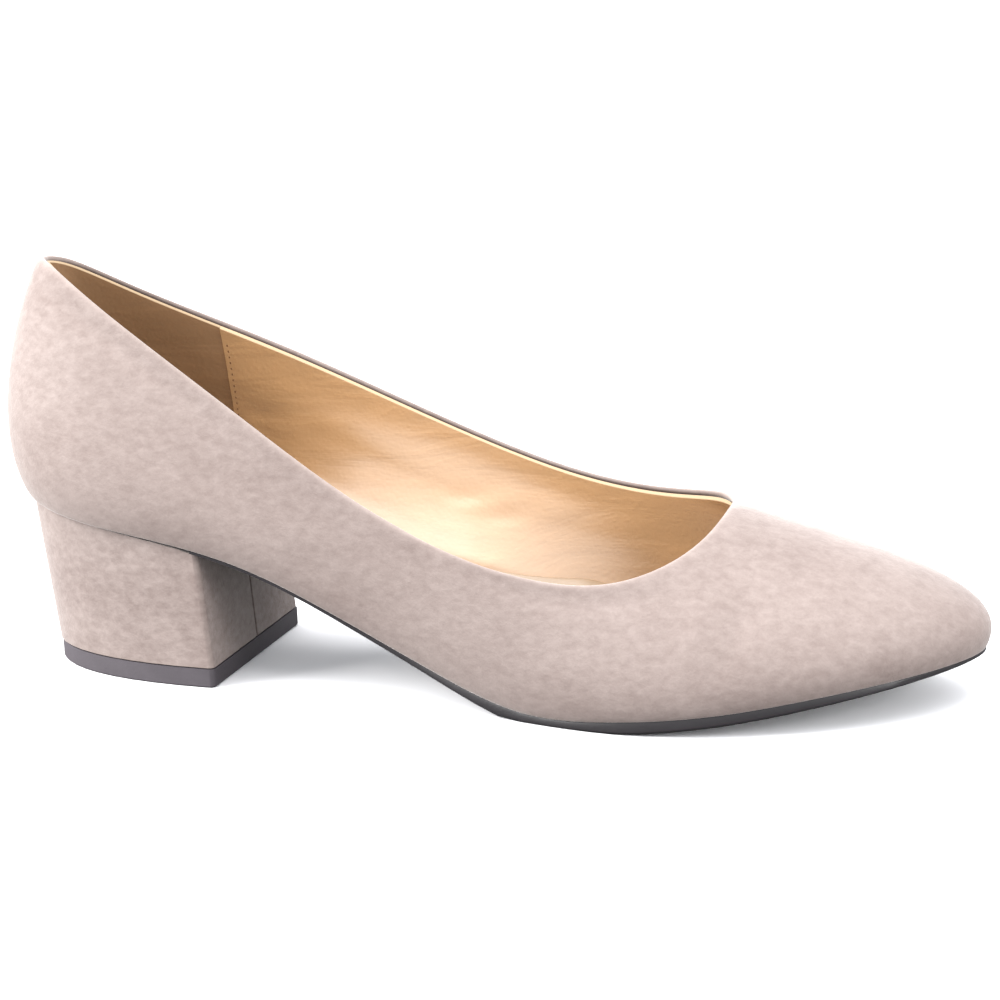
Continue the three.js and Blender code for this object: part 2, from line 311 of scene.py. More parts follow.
def along_table(table, along):
    """A length read from a table in millimetres, at one place along the shoe"""
    places = [place * MM for place, _ in table]
    values = [value * MM for _, value in table]
    return float(np.interp(along, places, values))


def cap_faces(shape, up):
    """The faces that close the top or the underside of a slab"""
    sign = 1.0 if up else -1.0
    return [face for face in shape.faces if face.normal.z * sign > LID_TURN]


def outward(vert):
    """The level part of the direction that a vertex faces in"""
    return Vector((vert.normal.x, vert.normal.y, 0.0))


def cut_plane(shape, place, direction, faces=None, **cleared):
    """Cuts a shape, or some of its faces, where a plane meets it"""
    if faces is None:
        parts = list(shape.verts) + list(shape.edges) + list(shape.faces)
    else:
        verts = {vert for face in faces for vert in face.verts}
        edges = {edge for face in faces for edge in face.edges}
        parts = list(verts) + list(edges) + list(faces)
    return bmesh.ops.bisect_plane(shape, geom=parts, plane_co=place, plane_no=direction, **cleared)


def cut_across(shape, along, faces=None, **cleared):
    """Cuts a shape at an upright plane across the shoe"""
    return cut_plane(shape, (along, 0.0, 0.0), (1.0, 0.0, 0.0), faces, **cleared)


def surface_point(tree, side, along, level):
    """Where a level line from the side meets the shoe: along and up, in millimetres"""
    start = Vector((along * MM, side * FROM_SIDE, level * MM))
    return tree.ray_cast(start, Vector((0.0, -side, 0.0)))[0]


def vamp_point(tree, along, across):
    """Where a plumb line meets the top of the vamp, in millimetres"""
    start = Vector((along * MM, across * MM, FROM_TOP))
    return tree.ray_cast(start, Vector((0.0, 0.0, -1.0)))[0]


def wall_hit(tree, along, level, side):
    """Where a level line from the shoe's middle meets the wall on one side, and how the wall faces"""
    return tree.ray_cast(Vector((along, 0.0, level)), Vector((0.0, side, 0.0)))[:2]


def press_fold(shape, path, half_width, depth):
    """Presses a soft trough along a path over the surface, or raises a ridge where depth is below 0"""
    path = [point for point in path if point]
    shape.verts.ensure_lookup_table()
    places = np.array([vert.co for vert in shape.verts])
    normals = np.array([vert.normal for vert in shape.verts])
    nearest = np.full(len(places), np.inf)
    share = np.zeros(len(places))
    for index, (first, second) in enumerate(zip(path, path[1:])):
        start = np.array(first)
        run = np.array(second) - start
        step = np.clip((places - start) @ run / (run @ run), 0.0, 1.0)
        away = np.linalg.norm(places - (start + step[:, None] * run), axis=1)
        closer = away < nearest
        nearest[closer] = away[closer]
        share[closer] = (index + step[closer]) / (len(path) - 1)
    fade = np.sin(np.pi * np.clip(share, 0.0, 1.0)) ** FOLD_FADE
    lift = -depth * np.exp(-((nearest / half_width) ** 2)) * fade
    for index in np.nonzero(nearest < half_width * FOLD_REACH)[0]:
        shape.verts[index].co += Vector(normals[index]) * lift[index]


# Material helpers


class Nodes:
    """Adds nodes to one node tree and joins them"""

    def __init__(self, tree):
        self.tree = tree

    def add(self, kind, inputs=None, **settings):
        """A new node with its settings and input values or links"""
        node = self.tree.nodes.new(kind)
        for key, value in settings.items():
            setattr(node, key, value)
        for key, value in (inputs or {}).items():
            self.feed(value, node.inputs[key])
        return node

    def feed(self, value, socket):
        """Links an output to a socket, or sets the socket's value"""
        if isinstance(value, bpy.types.NodeSocket):
            self.tree.links.new(value, socket)
        else:
            socket.default_value = value

    def math(self, operation, first, second=0.0):
        """The result of one sum"""
        return self.add("ShaderNodeMath", {0: first, 1: second}, operation=operation).outputs[0]

    def weighed(self, first, first_share, second, second_share):
        """The sum of two values, each times its share"""
        first_part = self.math("MULTIPLY", first, first_share)
        second_part = self.math("MULTIPLY", second, second_share)
        return self.math("ADD", first_part, second_part)

    def noise(self, place, scale, detail=2.0, roughness=0.5, distortion=0.0):
        """The grey value of a noise"""
        node = self.add(
            "ShaderNodeTexNoise",
            {
                "Vector": place,
                "Scale": scale,
                "Detail": detail,
                "Roughness": roughness,
                "Distortion": distortion,
            },
        )
        return node.outputs["Fac"]

    def rise(self, value, low, high, start=0.0, end=1.0):
        """A value stretched from one range to another, and held within it"""
        node = self.add(
            "ShaderNodeMapRange",
            {"Value": value, "From Min": low, "From Max": high, "To Min": start, "To Max": end},
        )
        return node.outputs["Result"]

    def mix(self, factor, first, second, blend="MIX"):
        """Two colours mixed"""
        node = self.add("ShaderNodeMix", data_type="RGBA", blend_type=blend)
        self.feed(factor, node.inputs["Factor"])
        self.feed(first, node.inputs[6])
        self.feed(second, node.inputs[7])
        return node.outputs[2]

    def stretch(self, place, scale, turn=(0.0, 0.0, 0.0)):
        """Coordinates turned and stretched"""
        return self.add(
            "ShaderNodeMapping", {"Vector": place, "Scale": scale, "Rotation": turn}
        ).outputs["Vector"]


def new_group(name, values, outputs):
    """An empty shader group: a place and named values go in, and named masks and heights come out"""
    tree = bpy.data.node_groups.new(name, "ShaderNodeTree")
    tree.interface.new_socket("Vector", in_out="INPUT", socket_type="NodeSocketVector")
    for socket, value in values.items():
        made = tree.interface.new_socket(socket, in_out="INPUT", socket_type="NodeSocketFloat")
        made.default_value = value
    for socket in outputs:
        tree.interface.new_socket(socket, in_out="OUTPUT", socket_type="NodeSocketFloat")
    nodes = Nodes(tree)
    return nodes, nodes.add("NodeGroupInput").outputs, nodes.add("NodeGroupOutput").inputs


def place_group(nodes, name, build, place, values):
    """A shared group, built once and placed in a material with its own values"""
    tree = bpy.data.node_groups.get(name) or build()
    return nodes.add("ShaderNodeGroup", {"Vector": place, **values}, node_tree=tree).outputs


def set_values(node, values):
    """Sets values that are the same all over on a node's own sockets"""
    for key, value in values.items():
        node.inputs[key].default_value = value


def new_material(name):
    """A material with its node helper, its shader and its object coordinates"""
    material = bpy.data.materials.new(name)
    material.use_nodes = True
    material.node_tree.nodes.clear()
    nodes = Nodes(material.node_tree)
    shader = nodes.add("ShaderNodeBsdfPrincipled")
    output = nodes.add("ShaderNodeOutputMaterial")
    nodes.feed(shader.outputs["BSDF"], output.inputs["Surface"])
    place = nodes.add("ShaderNodeTexCoord").outputs["Object"]
    return material, nodes, shader, place


def add_bump(nodes, shader, height, strength, distance):
    """Feeds a height to the shader's normal"""
    bump = nodes.add(
        "ShaderNodeBump", {"Height": height, "Strength": strength, "Distance": distance}
    )
    nodes.feed(bump.outputs["Normal"], shader.inputs["Normal"])


def opaque(colour):
    """A colour with full alpha, as a node's socket takes it"""
    return (colour[0], colour[1], colour[2], 1.0)


def dimmed(colour, factor):
    """A colour made lighter or darker"""
    return tuple(min(1.0, part * factor) for part in colour)


def toned(nodes, mask, colour, tones):
    """A colour that goes from one tone of itself to another as a mask goes from 0 to 1"""
    dark, light = tones
    return nodes.mix(mask, opaque(dimmed(colour, dark)), opaque(dimmed(colour, light)))


def spread(nodes, mask, middle, around):
    """A value that moves about a middle one as a mask goes from 0 to 1"""
    low, high = around
    return nodes.rise(mask, 0.0, 1.0, middle + low, middle + high)


def clouded(nodes, place, colour, scale):
    """A colour with faint soft clouds"""
    cloud = nodes.rise(nodes.noise(place, scale, detail=2.0), 0.3, 0.7)
    return toned(nodes, cloud, colour, CLOUD_TONES)


# Effects that several materials share, with their scales in waves per metre
NAP = {
    "Patch Scale": 34.0,
    "Blotch Scale": 430.0,
    "Fibre Scale": 1500.0,
    "Patch Share": 0.42,
    "Blotch Share": 0.58,
}
GRAIN = {"Pebble Scale": 900.0, "Wrinkle Scale": 60.0}
MOULD = {"Stipple Scale": 1400.0, "Mark Scale": 45.0}


def nap_group():
    """Brushed nap: soft patches, small blotches and fine fibres"""
    nodes, given, result = new_group("Suede nap", NAP, ("Patches", "Fibres", "Height"))
    brushed = nodes.stretch(given["Vector"], scale=(0.75, 1.0, 1.25), turn=(0.0, 0.35, 0.0))
    patches = nodes.noise(brushed, given["Patch Scale"], detail=3.0, roughness=0.55, distortion=0.3)
    blotches = nodes.noise(brushed, given["Blotch Scale"], detail=3.0, roughness=0.6, distortion=0.2)
    fibres = nodes.noise(given["Vector"], given["Fibre Scale"], detail=3.0, roughness=0.7)
    patchy = nodes.rise(patches, 0.34, 0.66)
    blotchy = nodes.rise(blotches, 0.3, 0.7)
    fine = nodes.rise(fibres, 0.3, 0.7)
    tone = nodes.weighed(patchy, given["Patch Share"], blotchy, given["Blotch Share"])
    nodes.feed(tone, result["Patches"])
    nodes.feed(fine, result["Fibres"])
    nodes.feed(nodes.weighed(fine, 0.6, blotchy, 0.7), result["Height"])
    return nodes.tree


def grain_group():
    """Fine lining leather: small pebbles and faint drawn wrinkles"""
    nodes, given, result = new_group("Leather grain", GRAIN, ("Pebbles", "Wrinkles", "Height"))
    cells = nodes.add(
        "ShaderNodeTexVoronoi",
        {"Vector": given["Vector"], "Scale": given["Pebble Scale"], "Smoothness": 0.6},
        feature="SMOOTH_F1",
    ).outputs["Distance"]
    pebbles = nodes.rise(cells, 0.0, 0.75)
    drawn = nodes.stretch(given["Vector"], scale=(0.45, 0.9, 2.2), turn=(0.0, 0.25, 0.0))
    wrinkles = nodes.noise(drawn, given["Wrinkle Scale"], detail=4.0, roughness=0.55, distortion=0.8)
    nodes.feed(pebbles, result["Pebbles"])
    nodes.feed(wrinkles, result["Wrinkles"])
    nodes.feed(nodes.weighed(wrinkles, 2.2, pebbles, -0.22), result["Height"])
    return nodes.tree


def moulded_group():
    """Moulded rubber: fine stipple from the mould, and handling marks"""
    nodes, given, result = new_group("Moulded rubber", MOULD, ("Marks", "Height"))
    stipple = nodes.noise(given["Vector"], given["Stipple Scale"], detail=2.0, roughness=0.6)
    marks = nodes.noise(given["Vector"], given["Mark Scale"], detail=5.0, roughness=0.65, distortion=0.5)
    nodes.feed(nodes.rise(marks, 0.35, 0.7), result["Marks"])
    nodes.feed(stipple, result["Height"])
    return nodes.tree


# Finishes: values of the shader that are the same all over
SUEDE_FINISH = {
    "Specular IOR Level": 0.35,
    "Sheen Weight": 0.45,
    "Sheen Roughness": 0.40,
    "Sheen Tint": (1.0, 0.95, 0.93, 1.0),
}
LEATHER_FINISH = {"Specular IOR Level": 0.6, "Coat Roughness": 0.36, "Coat IOR": 2.1}
RUBBER_FINISH = {"Specular IOR Level": 0.45}
PLAIN_FINISH = {"Specular IOR Level": 0.2}

# The suede's roughness from brushed to raised nap, the tones of its fibres, and its relief
NAP_ROUGHNESS = (0.88, 0.66)
NAP_SPECKLE = (0.96, 1.04)
NAP_RELIEF = 0.25 * MM

# The tones of leather and rubber, and how far their roughness moves about its middle
LEATHER_TONES = (0.90, 1.06)
LEATHER_POLISH = (-0.05, 0.07)
RUBBER_TONES = (0.88, 1.15)
RUBBER_WEAR = (-0.06, 0.10)
RUBBER_RELIEF = 0.12 * MM

# The faint clouds of the plain materials
CLOUD_TONES = (0.985, 1.0)
CLOUD_SCALE = 400.0


def suede_material(name, colours, contrast, tone):
    """Faux suede with a short brushed nap"""
    material, nodes, shader, place = new_material(name)
    nap = place_group(nodes, "Suede nap", nap_group, place, NAP)
    middle = 0.5 * (1.0 - contrast)
    mask = nodes.rise(nap["Patches"], 0.0, 1.0, middle, middle + contrast)
    raised = opaque(dimmed(colours.suede, tone))
    brushed = opaque(dimmed(colours.suede_dark, tone))
    base = nodes.mix(mask, brushed, raised)
    # Above 0 the edge tone mixes in a painted highlight along the upper's crest, partly worn nap, and
    # the worn paler corners of the heel
    tone_on_edge = nodes.add("ShaderNodeAttribute", attribute_name="edge_tone").outputs["Fac"]
    rubbed_and_highlit = nodes.rise(tone_on_edge, 0.1, 0.9, end=0.7)
    base = nodes.mix(rubbed_and_highlit, base, opaque(colours.suede_rub_and_highlight))
    # Below 0 it mixes in a painted shade: in the fold under the topline, partly flattened nap, in the
    # heel's butt seam and in the line under the upper
    pressed_and_shaded = nodes.rise(tone_on_edge, -0.05, -0.6)
    base = nodes.mix(pressed_and_shaded, base, opaque(colours.suede_shade))
    speckle = nodes.rise(nap["Fibres"], 0.0, 1.0, *NAP_SPECKLE)
    grey = nodes.add("ShaderNodeCombineColor", {0: speckle, 1: speckle, 2: speckle}).outputs[0]
    nodes.feed(nodes.mix(1.0, base, grey, "MULTIPLY"), shader.inputs["Base Color"])
    nodes.feed(nodes.rise(nap["Patches"], 0.0, 1.0, *NAP_ROUGHNESS), shader.inputs["Roughness"])
    set_values(shader, SUEDE_FINISH)
    add_bump(nodes, shader, nap["Height"], strength=0.25, distance=NAP_RELIEF)
    return material


def leather_material(name, colour, roughness, coat, wrinkle_depth):
    """Smooth satin leather for the lining pieces"""
    material, nodes, shader, place = new_material(name)
    grain = place_group(nodes, "Leather grain", grain_group, place, GRAIN)
    mask = nodes.rise(grain["Wrinkles"], 0.3, 0.7)
    nodes.feed(toned(nodes, mask, colour, LEATHER_TONES), shader.inputs["Base Color"])
    polish = spread(nodes, grain["Pebbles"], roughness, LEATHER_POLISH)
    nodes.feed(polish, shader.inputs["Roughness"])
    set_values(shader, {"Coat Weight": coat, **LEATHER_FINISH})
    add_bump(nodes, shader, grain["Height"], strength=0.5, distance=wrinkle_depth)
    return material


def rubber_material(name, colour, roughness):
    """Moulded rubber with a fine stipple"""
    material, nodes, shader, place = new_material(name)
    moulded = place_group(nodes, "Moulded rubber", moulded_group, place, MOULD)
    nodes.feed(toned(nodes, moulded["Marks"], colour, RUBBER_TONES), shader.inputs["Base Color"])
    worn = spread(nodes, moulded["Marks"], roughness, RUBBER_WEAR)
    nodes.feed(worn, shader.inputs["Roughness"])
    set_values(shader, RUBBER_FINISH)
    add_bump(nodes, shader, moulded["Height"], strength=0.3, distance=RUBBER_RELIEF)
    return material


def plain_material(name, colour, roughness):
    """A matte surface with a faint unevenness, for thread and cut edges"""
    material, nodes, shader, place = new_material(name)
    nodes.feed(clouded(nodes, place, colour, CLOUD_SCALE), shader.inputs["Base Color"])
    set_values(shader, {"Roughness": roughness, **PLAIN_FINISH})
    return material


# The suede upper

# Soft creases of the upper, each with its half width and depth in millimetres. A crease on a side runs
# through places along and up the shoe, and one seen from above through places along and across it. A
# depth below 0 makes a ridge.
UPPER_FOLDS = (
    (
        OUTER_SIDE,
        ((-113, 98.6), (-103, 93.4), (-92, 87.9), (-82, 81.8), (-72, 75.5), (-56, 65)),
        3.0,
        0.75,
    ),
    (
        INNER_SIDE,
        ((-113, 97.0), (-103, 92.0), (-92, 86.0), (-82, 80.5), (-72, 75.0), (-56, 66)),
        3.0,
        0.40,
    ),
    (
        OUTER_SIDE,
        ((-10, 45), (4, 40), (16, 34.6), (27, 31.5), (38, 30.7), (49, 31), (60, 32)),
        3.4,
        0.42,
    ),
    (INNER_SIDE, ((-20, 48), (0, 42), (20, 36), (40, 33), (56, 32)), 3.4, 0.25),
    (OUTER_SIDE, ((75, 31), (73, 26), (72, 20), (69, 13)), 3.2, 0.32),
    (OUTER_SIDE, ((66, 31), (64, 26), (60, 19)), 3.6, -0.22),
    (OUTER_SIDE, ((-42, 38), (-32, 33), (-22, 27), (-12, 20)), 5.0, 0.40),
    (OUTER_SIDE, ((-104, 80), (-100, 72), (-101, 63), (-106, 55)), 4.5, 0.25),
    (FROM_ABOVE, ((78, -24), (84, -12), (86, 0), (84, 12)), 4.0, 0.20),
    (FROM_ABOVE, ((91, -16), (95, -4), (95, 8)), 4.0, -0.18),
    (FROM_ABOVE, ((108, -10), (111, 0), (109, 10)), 3.5, 0.22),
    (FROM_ABOVE, ((68, 18), (78, 24), (90, 26)), 4.5, 0.20),
)


def on_upper(tree, side, first, second):
    """The place on the upper that a crease's pair of numbers stands for"""
    if side == FROM_ABOVE:
        return vamp_point(tree, first, second)
    return surface_point(tree, side, first, second)


def pad_collar(rows):
    """Swells the topline over the padding at the back of the heel"""
    count = len(rows[0])
    for column in range(count):
        away = min(column, count - column) / COLLAR_COLUMNS
        share = math.exp(-away * away)
        rows[0][column].co.z += COLLAR_RISE * share
        for row, part in COLLAR_SHARES:
            rows[row][column].co.x += COLLAR_SWELL * share * part


def set_on_sole(shape, rows):
    """Brings the lower edge of the suede out and down onto the outsole, and keeps it crisp"""
    crease = shape.edges.layers.float["crease_edge"]
    edge_row = rows[SOLE_EDGE_ROW]
    for turn, foot in zip(edge_row, rows[OUTER_FOOT_ROW]):
        below = Vector((foot.co.x, foot.co.y, turn.co.z))
        turn.co = turn.co.lerp(below, SOLE_EDGE_REACH)
        turn.co.z -= SOLE_EDGE_DROP
    for first, second in zip(edge_row, edge_row[1:] + edge_row[:1]):
        shape.edges.get((first, second))[crease] = 1.0


def shape_upper():
    """The upper's wall, smoothed, with its soft creases and the painted highlight and shade of its
    folded edge
    """
    shape = merged_quads("upper")
    tone = shape.verts.layers.float.new("edge_tone")
    shape.edges.layers.float.new("crease_edge")
    rows = wall_grid(shape)
    for row, value in EDGE_TONES:
        for vert in rows[row]:
            vert[tone] = value
    pad_collar(rows)
    set_on_sole(shape, rows)
    subdivide(shape, UPPER_LEVELS)
    tree = BVHTree.FromBMesh(shape)
    for side, places, half_width, depth in UPPER_FOLDS:
        path = [on_upper(tree, side, first, second) for first, second in places]
        press_fold(shape, path, half_width * MM, depth * MM)
    return shape


class PUMP_OT_suede_upper(bpy.types.Operator):
    """Builds the suede upper over the CAD upper"""

    bl_idname = "pump.suede_upper"
    bl_label = "Suede upper"

    def execute(self, context):
        suede = suede_material("suede", context.scene.pump_colours, contrast=0.8, tone=0.97)
        add_piece("upper_suede", shape_upper(), [suede], ["upper"])
        return {"FINISHED"}


# The lining

# How deep the lining bows in over the arch on the inner side: along the shoe and depth, in millimetres
ARCH_BOW = (
    (-86, 0.0),
    (-74, 1.5),
    (-58, 5.5),
    (-40, 8.0),
    (-12, 8.0),
    (6, 6.0),
    (20, 4.0),
    (34, 1.5),
    (48, 0.0),
)

# How the bow grows on the way down from the topline
BOW_START = 4.0 * MM
BOW_REACH = 27.0 * MM
BOW_POWER = 1.7
BOW_LIMIT = 1.25

# Small puckers of the lining on the inner side: places along and up, half width and depth in millimetres
PUCKERS = (
    (((-71, 57.5), (-66, 56.8), (-60, 57.2)), 1.8, 0.40),
    (((-66, 54.5), (-61, 53.6), (-54, 54.2)), 1.8, -0.35),
    (((-18, 38.8), (-11, 38.2), (-4, 39.4)), 1.8, 0.45),
    (((-14, 36.0), (-7, 35.4), (0, 36.6)), 1.8, -0.40),
    (((-10, 33.6), (-2, 33.4), (6, 35.0)), 1.9, 0.35),
)

# The stitches of the heel grip seam: half the size of one across, out of and along the seam, and where
# the row starts and ends
STITCH_FROM_EDGE = 1.2 * MM
STITCH_SIZE = (0.19 * MM, 0.133 * MM, 0.34 * MM)
STITCH_LOW = 47.0 * MM
STITCH_TOP_GAP = 3.5 * MM


def bow_over_arch(sheet):
    """Bows the lining in over the arch, so that it runs into the sock in one curve"""
    below = sheet.verts.layers.float["below_edge"]
    sheet.normal_update()
    moves = []
    for vert in sheet.verts:
        if vert.co.y > 0.0:
            share = min(max((vert[below] - BOW_START) / BOW_REACH, 0.0), BOW_LIMIT)
            depth = along_table(ARCH_BOW, vert.co.x)
            moves.append((vert, vert.normal * depth * share**BOW_POWER))
    for vert, move in moves:
        vert.co += move


def lining_sheet(sizes):
    """The inner skin of the upper from below its folded edge, one layer thick"""
    cage = merged_quads("upper")
    below = cage.verts.layers.float.new("below_edge")
    rows = wall_grid(cage)
    pad_collar(rows)
    fold = sizes.fold_depth
    lip = sizes.lip_height
    first_rows = {1: fold, 2: fold + lip, 3: fold + LIP_SHOULDER * lip}
    for column in zip(*rows[: INNER_ROWS + 1]):
        line = [vert.co.copy() for vert in column]
        reach = 0.0
        for index, vert in enumerate(column[1:], start=1):
            reach += (line[index] - line[index - 1]).length
            wanted = first_rows.get(index, reach)
            vert.co = point_at(line, wanted)
            vert[below] = wanted - fold
    kept = {vert for row in rows[1 : INNER_ROWS + 1] for vert in row}
    others = [face for face in cage.faces if not kept.issuperset(face.verts)]
    bmesh.ops.delete(cage, geom=others, context="FACES")
    cage.normal_update()
    subdivide(cage, LINING_LEVELS)
    bow_over_arch(cage)
    cage.normal_update()
    tree = BVHTree.FromBMesh(cage)
    for places, half_width, depth in PUCKERS:
        path = [wall_hit(tree, along * MM, level * MM, INNER_SIDE)[0] for along, level in places]
        press_fold(cage, path, half_width * MM, depth * MM)
    cage.normal_update()
    return cage


def thicken_lining(sheet, thickness, lip_height):
    """Gives a lining sheet its thickness, which slopes to nothing at its top edge"""
    below = sheet.verts.layers.float["below_edge"]
    away = sheet.verts.layers.float_vector.new("away")
    for vert in sheet.verts:
        vert[away] = vert.normal
        vert.co += vert.normal * LINING_CLEARANCE
    made = bmesh.ops.extrude_face_region(sheet, geom=list(sheet.faces), use_keep_orig=True)
    for vert in made["geom"]:
        if isinstance(vert, bmesh.types.BMVert):
            share = float(smooth_step(vert[below], 0.0, lip_height))
            vert.co += vert[away] * (LIP_OFFSET + (thickness - LIP_OFFSET) * share)
    bmesh.ops.recalc_face_normals(sheet, faces=sheet.faces)
    for face in sheet.faces:
        edge = max(vert[below] for vert in face.verts) < lip_height * LIP_MARGIN
        face.material_index = 1 if edge else 0


def add_stitches(stitches, tree, side, sizes):
    """One row of stitches up the heel grip seam"""
    along = sizes.grip_seam + STITCH_FROM_EDGE
    plumb = Vector((0.0, 0.0, 1.0))
    level = STITCH_LOW
    while True:
        hit, normal = wall_hit(tree, along, level, side)
        above, _ = wall_hit(tree, along, level + STITCH_TOP_GAP, side)
        if hit is None or above is None:
            return
        up_the_wall = (plumb - normal * normal.z).normalized()
        turned = plumb.rotation_difference(up_the_wall).to_matrix().to_4x4()
        place = Matrix.Translation(hit) @ turned @ Matrix.Diagonal((*STITCH_SIZE, 1.0))
        bmesh.ops.create_uvsphere(stitches, u_segments=8, v_segments=6, radius=1.0, matrix=place)
        level += sizes.stitch_pitch


class PUMP_OT_lining(bpy.types.Operator):
    """Builds the quarter lining, the heel grip and the stitches between them"""

    bl_idname = "pump.lining"
    bl_label = "Lining"

    def execute(self, context):
        sizes = context.scene.pump_sizes
        colours = context.scene.pump_colours
        edge = plain_material("lining_cut_edge", colours.lining_edge, roughness=0.7)
        leather = leather_material(
            "lining_leather", colours.lining, roughness=0.42, coat=0.75, wrinkle_depth=0.5 * MM
        )
        grip_leather = leather_material(
            "grip_leather", colours.grip, roughness=0.55, coat=0.0, wrinkle_depth=0.3 * MM
        )

        front = lining_sheet(sizes)
        cut_across(front, sizes.grip_seam, clear_inner=True)
        thicken_lining(front, sizes.quarter_thickness, sizes.lip_height)
        tree = BVHTree.FromBMesh(front)
        add_piece("quarter_lining", front, [leather, edge], sharp_angle=LINING_SHARP)

        back = lining_sheet(sizes)
        cut_across(back, sizes.grip_seam - CUT_GAP, clear_outer=True)
        thicken_lining(back, sizes.grip_thickness, sizes.lip_height)
        add_piece("heel_grip", back, [grip_leather, edge], sharp_angle=LINING_SHARP)

        stitches = bmesh.new()
        for side in (OUTER_SIDE, INNER_SIDE):
            add_stitches(stitches, tree, side, sizes)
        thread = plain_material("thread", colours.thread, roughness=0.8)
        add_piece("lining_stitches", stitches, [thread])
        return {"FINISHED"}


# The cushioned sock

SOCK_LEVELS = 2
SOCK_SHARP = 60
SOCK_INSET = 0.9 * MM
SOCK_CLEARANCE = 0.12 * MM
FIT_TO = 80.0 * MM
ARCH_POWER = 1.8

# The two steps in which the cushion swells: width of the step and share of the crown
CROWN_STEPS = ((2.5 * MM, 0.6), (7.0 * MM, 0.4))

# The insole's strips are long across the shoe, so edges longer than this are cut for the cushion
STRIP_LENGTH = 12.0 * MM
STRIP_CUTS = 5

# The least level part of a direction for a vertex to count as facing sideways
SOCK_SIDEWAYS = 0.1

# How high the sock's inner edge rises over the arch: along the shoe and rise, in millimetres
ARCH_RISE = (
    (-74, 0.0),
    (-56, 3.4),
    (-40, 7.2),
    (-20, 8.6),
    (-4, 9.2),
    (8, 10.4),
    (18, 11.2),
    (28, 8.4),
    (46, 2.6),
    (66, 0.0),
)


def edge_line(shape, side):
    """The insole's widest upper edge on one side, as places in order along the shoe"""
    on_edge = [vert for vert in shape.verts if 0.0 < vert.normal.z < WALL_TURN]
    places = [vert.co.copy() for vert in on_edge if vert.co.y * side > 0.0]
    return sorted(places, key=lambda place: place.x)


def value_along(places, values, along):
    """A value at one place along the shoe, read from a row of places"""
    return float(np.interp(along, [place.x for place in places], values))


def raise_arch(shape, edge, amount):
    """Raises the sock towards the inner edge of the arch"""
    top = shape.verts.layers.float["top"]
    widths = [abs(place.y) for place in edge]
    for vert in shape.verts:
        if vert.co.y > 0.0:
            share = min(vert.co.y / value_along(edge, widths, vert.co.x), 1.0) ** ARCH_POWER
            vert.co.z += along_table(ARCH_RISE, vert.co.x) * amount * share * vert[top]


def fit_to_lining(shape, edge, side, lining, amount):
    """Draws one side of the sock in where the lining stands in its way"""
    shares = []
    for place in edge:
        rise = along_table(ARCH_RISE, place.x) * amount if side == INNER_SIDE else 0.0
        wall, _ = wall_hit(lining, place.x, place.z + rise, side)
        width = abs(place.y) - SOCK_INSET
        fitted = wall is not None and place.x < FIT_TO
        shares.append(min((abs(wall.y) - SOCK_CLEARANCE) / width, 1.0) if fitted else 1.0)
    for vert in shape.verts:
        if vert.co.y * side > 0.0:
            vert.co.y *= value_along(edge, shares, vert.co.x)


def width_of(edge):
    """How far an edge reaches across the shoe"""
    return abs(edge.verts[0].co.y - edge.verts[1].co.y)


def shape_sock(sizes, lining):
    """The insole's top as a soft cushion that rises along the inner arch"""
    shape = merged_quads("insole")
    top = shape.verts.layers.float.new("top")
    shape.normal_update()
    edges = {side: edge_line(shape, side) for side in (INNER_SIDE, OUTER_SIDE)}
    lid = cap_faces(shape, True)
    for width, share in CROWN_STEPS:
        swell = sizes.sock_crown * share
        bmesh.ops.inset_region(shape, faces=lid, thickness=width, depth=swell, use_even_offset=True)
    strips = [edge for edge in shape.edges if width_of(edge) > STRIP_LENGTH]
    bmesh.ops.subdivide_edges(shape, edges=strips, cuts=STRIP_CUTS, use_grid_fill=True)
    shape.normal_update()
    for vert in shape.verts:
        vert[top] = 1.0 if vert.normal.z > UNDERSIDE_TURN else 0.0
        side = outward(vert)
        if vert.normal.z < WALL_TURN and side.length > SOCK_SIDEWAYS:
            vert.co -= side.normalized() * SOCK_INSET
    subdivide(shape, SOCK_LEVELS)
    raise_arch(shape, edges[INNER_SIDE], sizes.arch_rise)
    for side, edge in edges.items():
        fit_to_lining(shape, edge, side, lining, sizes.arch_rise)
    shape.normal_update()
    return shape


def lining_surface(sizes):
    """The face of the lining that the foot touches, as a tree to measure from"""
    sheet = lining_sheet(sizes)
    for vert in sheet.verts:
        vert.co += vert.normal * (LINING_CLEARANCE + sizes.quarter_thickness)
    tree = BVHTree.FromBMesh(sheet)
    sheet.free()
    return tree


class PUMP_OT_sock(bpy.types.Operator):
    """Builds the cushioned sock over the CAD insole"""

    bl_idname = "pump.sock"
    bl_label = "Sock"

    def execute(self, context):
        sizes = context.scene.pump_sizes
        colours = context.scene.pump_colours
        leather = leather_material(
            "sock_leather", colours.sock, roughness=0.44, coat=0.55, wrinkle_depth=0.25 * MM
        )
        shape = shape_sock(sizes, lining_surface(sizes))
        sock = add_piece("insole_sock", shape, [leather], ["insole"], SOCK_SHARP)
        return {"FINISHED"}


# The outsole and the heel

HEEL_BREAST = -64.5 * MM
OUTSOLE_SHARP = 32

# The heel's seat, which fades out in front between two places, and how far the outsole is tucked into it
SEAT_FADE = (HEEL_BREAST - 6.0 * MM, HEEL_BREAST - 1.6 * MM)
SEAT_TUCK = 5.0 * MM
SEAT_SIDEWAYS = 0.05

